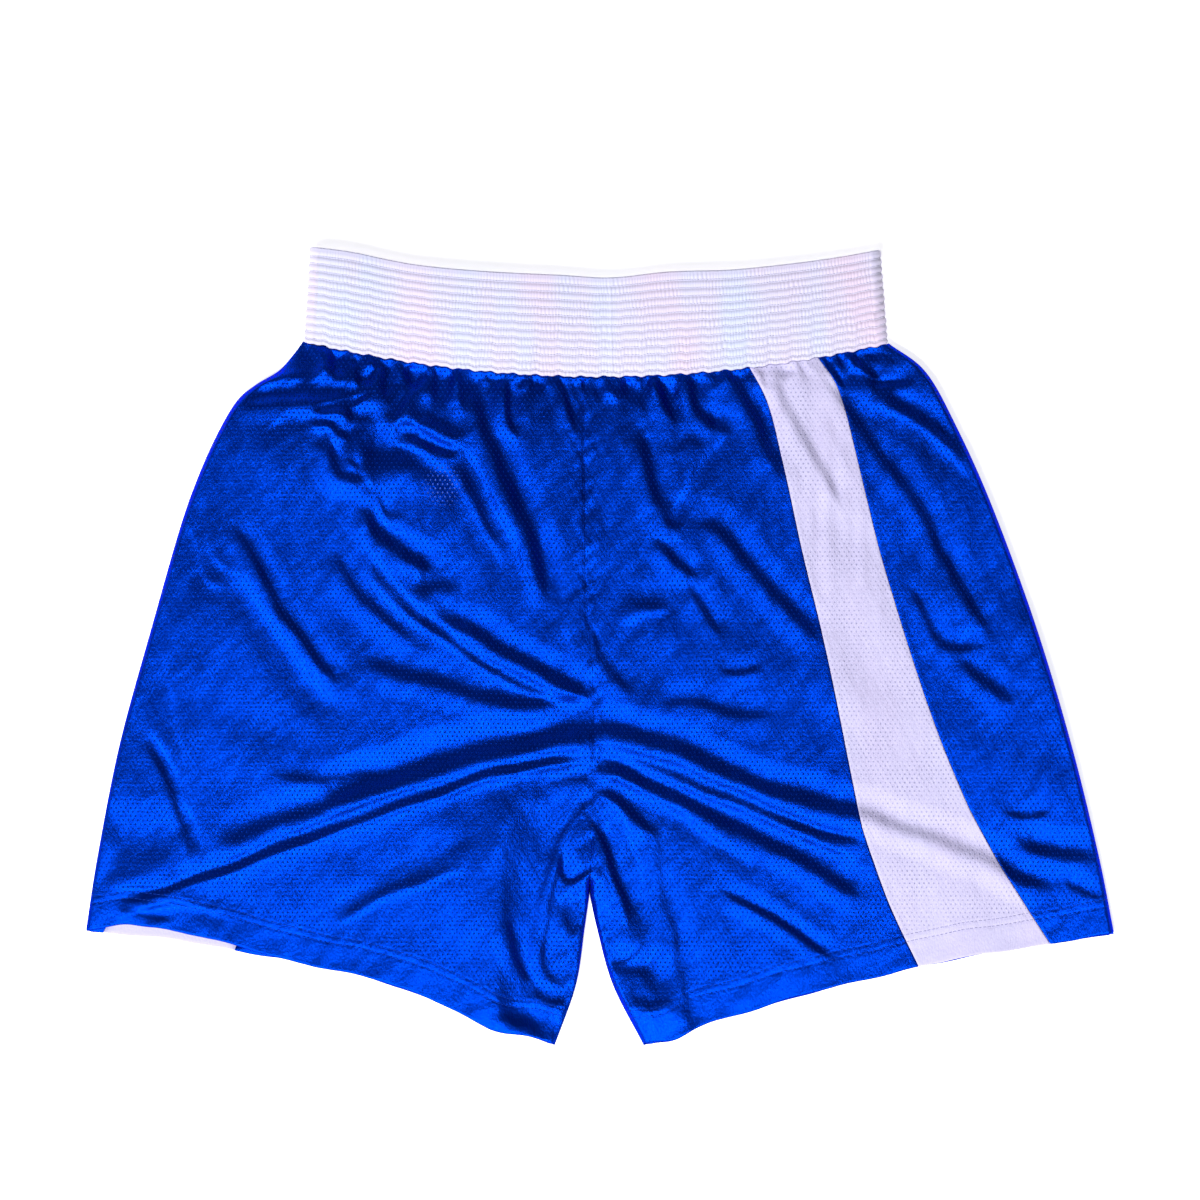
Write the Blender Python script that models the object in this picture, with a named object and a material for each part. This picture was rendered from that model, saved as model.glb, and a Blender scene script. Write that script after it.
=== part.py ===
"""Boxing shorts laid flat on their back, waistband towards +Y and legs towards -Y.

X runs across the garment, towards the wearer's left. Z is up, out of the surface that the shorts lie on.
Each cut piece of cloth, the elastic and each run of thread is a solid of its own.
"""

import math

import bmesh
import bpy
from mathutils import Vector

# The laid garment, in metres.
THICKNESS = 0.0150  # outer face to outer face, with air between the layers
MID = THICKNESS / 2
GAP = 0.0003  # clearance between sewn pieces

# Cloth.
WALL = 0.0008  # one layer of knitted mesh
HEM_WALL = 0.0020  # two layers, where the hem is turned up
HEM_DEPTH = 0.0230
CLOTH_LENGTH = 0.4070  # from hem to waist seam, along a leg
STITCH_GROOVE = 0.0008  # how deep a stitch row pulls into the cloth
STITCH_GROOVE_WIDTH = 0.0024
HEM_STITCH_ROWS = (0.0165, 0.0210)  # distance of each row of hem stitching from the fold
THREAD = 0.0005
SEAM_THREAD = 0.0011  # an overlocked seam's bundle of threads
SEAM_THREAD_STOP = 0.0035  # where a seam's thread ends, short of the waist seam's own

# Waistband.
BAND_HEIGHT = 0.0620
BAND_WALL = 0.0038
BAND_INNER = MID - BAND_WALL  # half of the space inside the flattened band
BAND_SKIN = 0.0006  # the casing's inner layer
BAND_GROOVE_LEVEL = 0.0029  # where a stitch row pulls the casing's outer face down to
BAND_POCKET = 0.0018  # the space in the casing, which holds the elastic
ELASTIC = 0.0012
BAND_STITCH_ROWS = 12
BAND_TOP_RIB = 0.0054
BAND_RIB = 0.00485
BAND_LEFT_EDGE = (0.1790, 0.1745)  # x at the seam and at the top
BAND_RIGHT_EDGE = (-0.1840, -0.1805)
BAND_SEAM_LOW = 0.1670  # y of the waist seam at the centre
BAND_SEAM_RISE = 0.0210  # how much higher the seam is at the sides
BAND_TOP_LOW = 0.2290
BAND_TOP_RISE = 0.0180
BAND_HALF = 0.1805
BAND_FLAT_STEPS = 10
BAND_TURN_STEPS = 4

# Outlines of the legs, seen from above, from the hem up.
CENTRE_SEAM_X = -0.0065
FORK_Y = -0.1540
SADDLE = 0.0450  # height over which the centre seam dips into the fork
SIDE_SEAM = {
    "left": [
        (0.3190, -0.1780),
        (0.3095, -0.1300),
        (0.2926, -0.0614),
        (0.2703, 0.0130),
        (0.2430, 0.0874),
        (0.2207, 0.1370),
        (0.2020, 0.1700),
        (0.1790, 0.1877),
    ],
    "right": [
        (-0.3190, -0.1760),
        (-0.3118, -0.1300),
        (-0.2982, -0.0614),
        (-0.2778, 0.0130),
        (-0.2600, 0.0750),
        (-0.2410, 0.1250),
        (-0.2150, 0.1620),
        (-0.1840, 0.1888),
    ],
}
INSEAM = {
    "left": [
        (0.0270, -0.2470),
        (0.0080, -0.2100),
        (-0.0019, -0.1750),
        (CENTRE_SEAM_X, FORK_Y),
    ],
    "right": [
        (-0.0280, -0.2470),
        (-0.0149, -0.2100),
        (-0.0095, -0.1750),
        (CENTRE_SEAM_X, FORK_Y),
    ],
}
FORK_V = 0.23  # share of the cloth's length that the inseam takes
HEM_RISE = {"left": 0.0088, "right": 0.0125}  # how far the hem's middle bows up from a straight line

# The white side stripe, as shares of the leg's width, from the hem to the waist.
STRIPE_CENTRE = (0.723, -0.335, 0.267)
STRIPE_WIDTH = (0.280, -0.341, 0.286)
BACK_STRIPE_SHIFT = 0.100

EDGE_STEPS = 4
FLAT_STEPS = 5
LENGTH_STEPS = 11

LABEL = (0.0300, 0.0180, 0.0005)
LABEL_Z = 0.0027

COLOURS = {
    "blue_mesh": ((0.005, 0.050, 0.560), 0.40),
    "white_mesh": ((0.820, 0.810, 0.880), 0.50),
    "white_band": ((0.850, 0.830, 0.890), 0.60),
    "elastic": ((0.780, 0.780, 0.760), 0.80),
    "blue_thread": ((0.008, 0.040, 0.400), 0.60),
    "white_thread": ((0.850, 0.850, 0.880), 0.60),
    "label": ((0.800, 0.800, 0.800), 0.70),
}


def clear_scene():
    for item in list(bpy.data.objects):
        bpy.data.objects.remove(item)


def make_materials():
    made = {}
    for name, (colour, roughness) in COLOURS.items():
        material = bpy.data.materials.new(name)
        material.use_nodes = True
        shader = material.node_tree.nodes["Principled BSDF"]
        shader.inputs["Base Color"].default_value = (*colour, 1.0)
        shader.inputs["Roughness"].default_value = roughness
        made[name] = material
    return made


def curve_point(points, share):
    """A point on the smooth curve through the points, at a share of the way from first to last."""
    points = [Vector(point) for point in points]
    lengths = [(b - a).length for a, b in zip(points, points[1:])]
    left = share * sum(lengths)
    span = 0
    while span < len(lengths) - 1 and left > lengths[span]:
        left -= lengths[span]
        span += 1
    t = left / lengths[span]
    b, c = points[span], points[span + 1]
    a = points[span - 1] if span > 0 else 2 * b - c
    d = points[span + 2] if span + 2 < len(points) else 2 * c - b
    return 0.5 * (2 * b + (c - a) * t + (2 * a - 5 * b + 4 * c - d) * t**2 + (3 * b - a - 3 * c + d) * t**3)


def smooth(value):
    value = min(1.0, max(0.0, value))
    return value * value * (3 - 2 * value)


def waist_y(x):
    return BAND_SEAM_LOW + BAND_SEAM_RISE * (x / BAND_HALF) ** 2


def band_top_y(x):
    return BAND_TOP_LOW + BAND_TOP_RISE * (x / BAND_HALF) ** 2


class Leg:
    """One leg's cloth: where a point of its front or back layer lies.

    u runs from the centre seam or inseam, 0, to the side seam, 1; v from the hem, 0, to the waist seam, 1.
    """

    def __init__(self, side):
        self.side = side
        self.sign = 1 if side == "left" else -1

    def inner(self, v):
        if v <= FORK_V:
            point = curve_point(INSEAM[self.side], v / FORK_V)
        else:
            top = waist_y(CENTRE_SEAM_X)
            point = Vector((CENTRE_SEAM_X, FORK_Y + (top - FORK_Y) * (v - FORK_V) / (1 - FORK_V)))
        return point + Vector((self.sign * GAP / 2, 0))

    def outer(self, v):
        return curve_point(SIDE_SEAM[self.side], v)

    def hem(self, u):
        point = self.inner(0).lerp(self.outer(0), u)
        point.y += HEM_RISE[self.side] * math.sin(math.pi * u)
        return point

    def waist(self, u):
        x = self.inner(1).lerp(self.outer(1), u).x
        return Vector((x, waist_y(x)))

    def flat(self, u, v):
        """The point seen from above: a patch stretched between the four edges."""
        along = self.hem(u) * (1 - v) + self.waist(u) * v
        across = self.inner(v) * (1 - u) + self.outer(v) * u
        corners = self.inner(0).lerp(self.outer(0), u) * (1 - v) + self.inner(1).lerp(self.outer(1), u) * v
        return along + across - corners

    def width(self, v):
        return (self.outer(v) - self.inner(v)).length

    def inner_drop(self, v):
        """How far the inner edge has turned down to the middle: 1 on the inseam, 0 on the centre seam."""
        return 1 - smooth((self.inner(v).y - FORK_Y) / SADDLE)

    def layer(self, u, v, depth, facing):
        """A point of the layer facing up (1) or down (-1), depth metres inside its outer face.

        The edges turn through a quarter circle of radius MID, so u is in metres of flat cloth there.
        """
        width = self.width(v)
        radius = MID - depth
        from_side, from_inner = (1 - u) * width, u * width
        x_shift, height = 0.0, radius
        if from_side < MID:
            angle = math.acos(1 - from_side / MID)
            x_shift = depth * math.cos(angle)
            height = radius * math.sin(angle)
        elif from_inner < MID:
            angle = math.acos(1 - from_inner / MID)
            drop = self.inner_drop(v)
            x_shift = -depth * math.cos(angle) * drop
            height = radius * (1 - drop * (1 - math.sin(angle)))
        point = self.flat(u, v)
        return Vector((point.x - self.sign * x_shift, point.y, MID + facing * height))


def edge_shares(width):
    """The u of the turned edge's points, from its edge inwards."""
    return [MID / width * (1 - math.cos(math.pi / 2 * i / EDGE_STEPS)) for i in range(EDGE_STEPS + 1)]


def stripe_edges(leg, facing, v):
    """The u of the stripe's two edges."""
    centre = sum(c * v**i for i, c in enumerate(STRIPE_CENTRE))
    half = sum(c * v**i for i, c in enumerate(STRIPE_WIDTH)) / 2
    if facing < 0:
        centre += BACK_STRIPE_SHIFT
    return centre - half, centre + half


def even(low, high, steps):
    return [low + (high - low) * i / steps for i in range(steps + 1)]


def columns(leg, facing, kind, v):
    """The u of a piece's columns at v. kind is whole, inner, stripe or side."""
    width = leg.width(v)
    near = edge_shares(width)
    far = [1 - share for share in reversed(near)]
    seam = GAP / 2 / width
    first, last = stripe_edges(leg, facing, v)
    if kind == "whole":
        return near + even(near[-1], far[0], FLAT_STEPS)[1:-1] + far
    if kind == "inner":
        return near + even(near[-1], first - seam, FLAT_STEPS - 2)[1:]
    if kind == "stripe":
        return even(first + seam, last - seam, 2)
    return even(last + seam, far[0], FLAT_STEPS - 3)[:-1] + far


def layer_columns(leg, facing, v):
    """The u of all the columns across a layer, through each of its pieces in turn."""
    if leg.sign != facing:
        return columns(leg, facing, "whole", v)
    return [u for kind in ("inner", "stripe", "side") for u in columns(leg, facing, kind, v)]


def rows():
    """(v, depth of the outer face, depth of the inner face) of each row of a cloth piece, from the hem up."""
    found = [(0.0, 0.0, HEM_WALL)]
    for stitch in HEM_STITCH_ROWS:
        half = STITCH_GROOVE_WIDTH / 2
        for offset, depth in ((-half, 0.0), (0.0, STITCH_GROOVE), (half, 0.0)):
            found.append(((stitch + offset) / CLOTH_LENGTH, depth, HEM_WALL))
    found.append((HEM_DEPTH / CLOTH_LENGTH, 0.0, HEM_WALL))
    start = (HEM_DEPTH + (HEM_WALL - WALL)) / CLOTH_LENGTH
    end = 1 - GAP / CLOTH_LENGTH
    levels = even(start, FORK_V, 4) + even(FORK_V, end, LENGTH_STEPS)[1:]
    return found + [(v, 0.0, WALL) for v in levels]


def add_object(name, mesh, material):
    thing = bpy.data.objects.new(name, mesh)
    thing.data.materials.append(material)
    bpy.context.scene.collection.objects.link(thing)
    return thing


def closed_sheet(name, outer, inner, material, facing):
    """A solid between two grids of points with the same rows and columns, with a rim round it."""
    work = bmesh.new()
    outside = [[work.verts.new(p) for p in row] for row in outer]
    inside = [[work.verts.new(p) for p in row] for row in inner]
    count, wide = len(outer), len(outer[0])
    for i in range(count - 1):
        for j in range(wide - 1):
            work.faces.new((outside[i][j], outside[i][j + 1], outside[i + 1][j + 1], outside[i + 1][j]))
            work.faces.new((inside[i][j], inside[i + 1][j], inside[i + 1][j + 1], inside[i][j + 1]))
    for i in range(count - 1):
        for j in (0, wide - 1):
            work.faces.new((outside[i][j], outside[i + 1][j], inside[i + 1][j], inside[i][j]))
    for j in range(wide - 1):
        for i in (0, count - 1):
            work.faces.new((outside[i][j], outside[i][j + 1], inside[i][j + 1], inside[i][j]))
    bmesh.ops.recalc_face_normals(work, faces=work.faces)
    bmesh.ops.triangulate(work, faces=work.faces)
    mesh = bpy.data.meshes.new(name)
    work.to_mesh(mesh)
    work.free()
    return add_object(name, mesh, material)


def cloth_piece(name, leg, facing, kind, material):
    outer, inner = [], []
    for v, outer_depth, inner_depth in rows():
        shares = columns(leg, facing, kind, v)
        outer.append([leg.layer(u, v, outer_depth, facing) for u in shares])
        inner.append([leg.layer(u, v, inner_depth, facing) for u in shares])
        turn = Vector((0, 0, GAP / 2 * facing))
        for grid in (outer, inner):
            if kind in ("whole", "side"):
                grid[-1][-1] += turn
            if kind in ("whole", "inner") and leg.inner_drop(v) > 0.9:
                grid[-1][0] += turn
    return closed_sheet(name, outer, inner, material, facing)


def thread(name, points, size, material, closed=False):
    """A run of thread: a thin tube along the points."""
    curve = bpy.data.curves.new(name, "CURVE")
    curve.dimensions = "3D"
    curve.bevel_depth = size / 2
    curve.bevel_resolution = 0
    curve.use_fill_caps = True
    spline = curve.splines.new("POLY")
    spline.points.add(len(points) - 1)
    for target, point in zip(spline.points, points):
        target.co = (*point, 1.0)
    spline.use_cyclic_u = closed
    return add_object(name, curve, material)


def hem_thread(name, leg, stitch, material):
    """One row of hem stitching, all round the leg opening, sunk into its groove."""
    v = stitch / CLOTH_LENGTH
    depth = THREAD / 2
    front = [leg.layer(u, v, depth, 1) for u in layer_columns(leg, 1, v)]
    back = [leg.layer(u, v, depth, -1) for u in layer_columns(leg, -1, v)]
    return thread(name, front + back[-2:0:-1], THREAD, material, closed=True)


SEAM_DEPTH = WALL + GAP + SEAM_THREAD / 2
SEAM_START = (HEM_DEPTH + 0.0030) / CLOTH_LENGTH
SEAM_END = 1 - SEAM_THREAD_STOP / CLOTH_LENGTH


def side_seam_thread(name, leg, material):
    points = []
    for v in even(SEAM_START, SEAM_END, LENGTH_STEPS + 3):
        edge = leg.outer(v)
        points.append((edge.x - leg.sign * SEAM_DEPTH, edge.y, MID))
    return thread(name, points, SEAM_THREAD, material)


def inseam_thread(name, leg, material):
    points = []
    top = FORK_V - 2 * SEAM_THREAD / CLOTH_LENGTH
    for v in even(SEAM_START, top, 4):
        edge = leg.inner(v)
        points.append((edge.x + leg.sign * SEAM_DEPTH, edge.y, MID))
    return thread(name, points, SEAM_THREAD, material)


def centre_seam_thread(name, facing, material):
    """Runs inside the centre seam, from above the fork to the waist seam."""
    leg = Leg("left")
    points = []
    start = FORK_V + (SADDLE + 0.002) / CLOTH_LENGTH
    for v in even(start, SEAM_END, LENGTH_STEPS - 2):
        edge = leg.inner(v)
        points.append((CENTRE_SEAM_X, edge.y, MID + facing * (MID - SEAM_DEPTH)))
    return thread(name, points, SEAM_THREAD, material)


def stripe_seam_thread(name, leg, facing, edge, material):
    points = []
    for v in even(SEAM_START, SEAM_END, LENGTH_STEPS + 3):
        u = stripe_edges(leg, facing, v)[edge]
        points.append(leg.layer(u, v, SEAM_DEPTH, facing))
    return thread(name, points, SEAM_THREAD, material)


def waist_seam_thread(name, material):
    """Runs round the inside of the body, just under the band."""
    v = 1 - 0.0015 / CLOTH_LENGTH
    points = []
    for side, facing, backwards in (("left", 1, False), ("left", -1, True), ("right", -1, False), ("right", 1, True)):
        leg = Leg(side)
        shares = layer_columns(leg, facing, v)[EDGE_STEPS:]
        run = [leg.layer(u, v, SEAM_DEPTH, facing) for u in shares]
        if backwards:
            run.reverse()
        points += run[1:]
    return thread(name, points, SEAM_THREAD, material, closed=True)


def band_ring(height, out):
    """Points round the flattened band, at a share of its height and a distance out from its inner face."""
    radius = BAND_INNER + out
    left = BAND_LEFT_EDGE[0] + (BAND_LEFT_EDGE[1] - BAND_LEFT_EDGE[0]) * height - MID
    right = BAND_RIGHT_EDGE[0] + (BAND_RIGHT_EDGE[1] - BAND_RIGHT_EDGE[0]) * height + MID
    flat = []
    for x in even(right, left, BAND_FLAT_STEPS):
        flat.append((x, radius))
    for i in range(1, BAND_TURN_STEPS):
        angle = math.pi / 2 - math.pi * i / BAND_TURN_STEPS
        flat.append((left + radius * math.cos(angle), radius * math.sin(angle)))
    for x in even(left, right, BAND_FLAT_STEPS):
        flat.append((x, -radius))
    for i in range(1, BAND_TURN_STEPS):
        angle = -math.pi / 2 - math.pi * i / BAND_TURN_STEPS
        flat.append((right + radius * math.cos(angle), radius * math.sin(angle)))
    ring = []
    for x, z in flat:
        low, high = waist_y(x), band_top_y(x)
        ring.append(Vector((x, low + (high - low) * height, MID + z)))
    return ring


def swept_band(name, profile, material):
    """A closed loop whose section is the profile: (share of the height, distance out) points."""
    work = bmesh.new()
    rings = [[work.verts.new(p) for p in band_ring(height, out)] for height, out in profile]
    for one, two in zip(rings, rings[1:] + rings[:1]):
        for j in range(len(one)):
            k = (j + 1) % len(one)
            work.faces.new((one[j], one[k], two[k], two[j]))
    bmesh.ops.recalc_face_normals(work, faces=work.faces)
    bmesh.ops.triangulate(work, faces=work.faces)
    mesh = bpy.data.meshes.new(name)
    work.to_mesh(mesh)
    work.free()
    return add_object(name, mesh, material)


def stitch_heights():
    """The share of the band's height of each row of stitching, from the top row down."""
    return [1 - (BAND_TOP_RIB + i * BAND_RIB) / BAND_HEIGHT for i in range(BAND_STITCH_ROWS)]


def band_casing(material):
    """The casing: outer face pulled in at each stitch row, folded over at the top, open at the seam."""
    half = 0.0012 / BAND_HEIGHT
    fold = BAND_SKIN / BAND_HEIGHT
    profile = [(0.0, BAND_WALL)]
    for height in reversed(stitch_heights()):
        profile += [(height - half, BAND_WALL), (height, BAND_GROOVE_LEVEL), (height + half, BAND_WALL)]
    profile += [(1 - fold, BAND_WALL), (1.0, BAND_WALL - 0.0008), (1.0, 0.0008), (1 - fold, 0.0), (0.0, 0.0)]
    pocket_top = 1 - 2 * fold
    profile += [(0.0, BAND_SKIN), (pocket_top, BAND_SKIN)]
    profile += [(pocket_top, BAND_SKIN + BAND_POCKET), (0.0, BAND_SKIN + BAND_POCKET)]
    return swept_band("waistband_casing", profile, material)


def band_elastic(material):
    """The elastic, loose in the casing's pocket."""
    low = BAND_SKIN + (BAND_POCKET - ELASTIC) / 2
    bottom, top = 0.0010 / BAND_HEIGHT, 1 - 0.0020 / BAND_HEIGHT
    profile = [(bottom, low + ELASTIC), (top, low + ELASTIC), (top, low), (bottom, low)]
    return swept_band("waistband_elastic", profile, material)


def band_join_thread(material):
    """The seam that closes the casing into a loop, on the inside at the centre front."""
    x = 0.0047
    z = MID + BAND_INNER - GAP - SEAM_THREAD / 2
    low, high = waist_y(x) + 0.0020, band_top_y(x) - 0.0020
    return thread("waistband_join_thread", [(x, y, z) for y in even(low, high, 3)], SEAM_THREAD, material)


def size_label(material):
    """A blank woven label, held in the waist seam at the centre back."""
    wide, deep, thick = LABEL
    top = waist_y(CENTRE_SEAM_X) - SEAM_THREAD_STOP
    corners = [(-wide / 2, -deep), (wide / 2, -deep), (wide / 2, 0.0), (-wide / 2, 0.0)]
    work = bmesh.new()
    base = [work.verts.new((CENTRE_SEAM_X + x, top + y, LABEL_Z)) for x, y in corners]
    face = work.faces.new(base)
    raised = bmesh.ops.extrude_face_region(work, geom=[face])["geom"]
    bmesh.ops.translate(work, verts=[v for v in raised if isinstance(v, bmesh.types.BMVert)], vec=(0, 0, thick))
    bmesh.ops.recalc_face_normals(work, faces=work.faces)
    mesh = bpy.data.meshes.new("size_label")
    work.to_mesh(mesh)
    work.free()
    return add_object("size_label", mesh, material)


def build():
    clear_scene()
    paint = make_materials()
    left, right = Leg("left"), Leg("right")

    cloth_piece("right_front_panel", right, 1, "whole", paint["blue_mesh"])
    cloth_piece("left_back_panel", left, -1, "whole", paint["blue_mesh"])
    for leg, facing, place in ((left, 1, "left_front"), (right, -1, "right_back")):
        cloth_piece(place + "_inner_panel", leg, facing, "inner", paint["blue_mesh"])
        cloth_piece(place + "_stripe", leg, facing, "stripe", paint["white_mesh"])
        cloth_piece(place + "_side_panel", leg, facing, "side", paint["blue_mesh"])
        for edge, which in enumerate(("inner", "outer")):
            name = f"{place}_stripe_{which}_seam_thread"
            stripe_seam_thread(name, leg, facing, edge, paint["white_thread"])

    for leg in (left, right):
        side_seam_thread(leg.side + "_side_seam_thread", leg, paint["blue_thread"])
        inseam_thread(leg.side + "_inseam_thread", leg, paint["blue_thread"])
        for number, stitch in enumerate(HEM_STITCH_ROWS, 1):
            hem_thread(f"{leg.side}_hem_thread_{number}", leg, stitch, paint["blue_thread"])
    centre_seam_thread("centre_front_seam_thread", 1, paint["blue_thread"])
    centre_seam_thread("centre_back_seam_thread", -1, paint["blue_thread"])
    waist_seam_thread("waist_seam_thread", paint["blue_thread"])

    band_casing(paint["white_band"])
    band_elastic(paint["elastic"])
    band_join_thread(paint["white_thread"])
    lift = BAND_GROOVE_LEVEL + GAP + THREAD / 2
    for number, height in enumerate(stitch_heights(), 1):
        thread(f"waistband_thread_{number:02d}", band_ring(height, lift), THREAD, paint["white_thread"], closed=True)
    size_label(paint["label"])


build()
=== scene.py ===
"""The looks of the boxing shorts: cloth with folds and gathers, shirred waistband, stitching, and a studio.

All lengths are in metres unless a name or comment says millimetres.
"""

import math

import bmesh
import bpy
import numpy as np
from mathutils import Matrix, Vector


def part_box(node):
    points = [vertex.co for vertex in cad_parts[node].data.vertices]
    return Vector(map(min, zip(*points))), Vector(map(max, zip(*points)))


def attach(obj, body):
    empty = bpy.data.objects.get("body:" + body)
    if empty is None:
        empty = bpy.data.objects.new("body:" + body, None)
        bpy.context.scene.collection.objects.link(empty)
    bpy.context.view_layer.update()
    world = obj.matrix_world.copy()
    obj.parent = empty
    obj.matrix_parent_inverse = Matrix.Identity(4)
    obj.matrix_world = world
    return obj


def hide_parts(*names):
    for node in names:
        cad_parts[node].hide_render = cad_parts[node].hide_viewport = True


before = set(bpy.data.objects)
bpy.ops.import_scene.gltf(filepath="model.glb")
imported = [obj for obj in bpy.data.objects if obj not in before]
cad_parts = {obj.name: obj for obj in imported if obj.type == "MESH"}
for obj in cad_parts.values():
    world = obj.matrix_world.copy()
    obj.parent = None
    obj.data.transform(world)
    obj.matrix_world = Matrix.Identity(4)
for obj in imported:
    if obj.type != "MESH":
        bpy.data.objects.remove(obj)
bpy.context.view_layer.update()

MM = 0.001

# ---- The laid garment ----

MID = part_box("waistband_casing")[1].z / 2  # the height halfway between the waistband's two faces
CLOTH_LENGTH = 0.407  # hem to waist seam, along a leg
FORK_V = 0.23  # the share of it that the inseam takes
FORK_Y = -0.154
CENTRE_SEAM_X = -0.0065
SADDLE = 0.014  # height over which the centre seam dips into the fork
SIDE_SEAM_Z = 0.004
TURN = 0.0036  # how far in from a side seam the cloth's turned edge reaches

WALL = 0.0008
HEM_WALL = 0.002
HEM_DEPTH = 0.023
HEM_STITCH_ROWS = (0.0165, 0.021)
THREAD_RADIUS = 0.0004  # of a seam's bundle of thread

# The sides of the legs, from the hem up: (x, y) in millimetres.
SIDE_SEAM = {
    "left": [(319, -178), (309.5, -130), (292.6, -61.4), (270.3, 13), (243, 87.4), (220.7, 137), (202, 170),
             (179, 187.7)],
    "right": [(-319, -176), (-311.8, -130), (-298.2, -61.4), (-277.8, 13), (-260, 75), (-248, 108),
              (-236.5, 133), (-225, 152), (-213, 162), (-199.5, 170.2), (-190.5, 180), (-184, 188.8)],
}
INSEAM = {
    "left": [(27, -247), (8, -210), (-1.9, -175), (-6.5, -154)],
    "right": [(-28, -247), (-14.9, -210), (-9.5, -175), (-6.5, -154)],
}
CENTRE_SEAM_WANDER = [  # (y, sideways shift in millimetres)
    (-0.154, 0), (-0.08, 2.5), (-0.02, 2), (0.04, -2.5), (0.1, -3), (0.168, -3.5),
]
HEM_RISE = {"left": 0.0088, "right": 0.0125}
HEM_WAVES = {  # (height, place across the leg, half width) of the hem's larger waves
    "left": [(-0.0034, 0.062, 0.035), (0.0014, 0.14, 0.05)],
    "right": [(-0.0046, 0.135, 0.06), (0.002, 0.4, 0.12)],
}

# The front's height, in millimetres.
FRONT_LEVEL = 9.7
LOWEST, HIGHEST = (5.2, 1.4), (18.0, 4.0)  # what lies beyond the first is eased towards this much further
SIDE_FALL = {"left": 0.4, "right": 2.5}  # how far the front sinks towards the side seam
INSEAM_FALL = 2.8
HEM_FALL = 1.6
# The broadest waves of the front: (height, x, y, half width).
SWELLS = [
    (5.0, -190, 120, 90), (3.0, -235, 12, 65), (1.2, -95, -130, 40), (1.2, -130, 50, 35), (1.5, 285, 60, 90),
    (-0.6, 50, -150, 50), (2.5, 302, -5, 65), (2.6, 300, 110, 90), (2.6, 312, -65, 60), (2.0, -205, 160, 60),
]

STRIPE_CENTRE = (0.723, -0.335, 0.267)  # the u of the stripe's middle, as a polynomial in v
STRIPE_WIDTH = (0.280, -0.341, 0.286)
BACK_STRIPE_SHIFT = 0.1

# The waistband.
BAND_INNER = 0.0037  # half of the space inside the flattened band
BAND_GROOVE = 0.0027  # from the inner face out to a stitch row
BAND_RIB_PUFF = 0.0009  # how far a rib stands out of its stitch rows
BAND_LEAN = 0.0048  # how far the front's lower edge sinks towards the cloth
BAND_HEIGHT = 0.062
BAND_TOP_RIB, BAND_RIB = 0.0054, 0.00485
BAND_LEFT_EDGE, BAND_RIGHT_EDGE = (0.179, 0.1745), (-0.184, -0.1805)  # x at the seam and at the top
BAND_SEAM_LOW, BAND_SEAM_RISE = 0.167, 0.021  # y in the middle, and how much more at the ends
BAND_TOP_LOW, BAND_TOP_RISE = 0.229, 0.018
BAND_HALF = 0.1805
BAND_OUTLINE = 355  # the visible width in millimetres
BAND_JOIN = 0.528  # the share across the band where its two ends are joined
STITCH_HEIGHTS = [1 - (BAND_TOP_RIB + i * BAND_RIB) / BAND_HEIGHT for i in range(12)]  # from the top down
STITCH_RADIUS = 0.00022
PUCKER = 0.0019  # the pitch of the small pleats that the elastic gathers the casing into
GATHER_COUNT = {"left": 24, "right": 34}

# ---- Folds of the front ----
#
# Each row is the steepness in per cent, the width, and x and y of each point of the path, in millimetres.
# A positive steepness looks away from the light, a negative one towards it.

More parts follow.
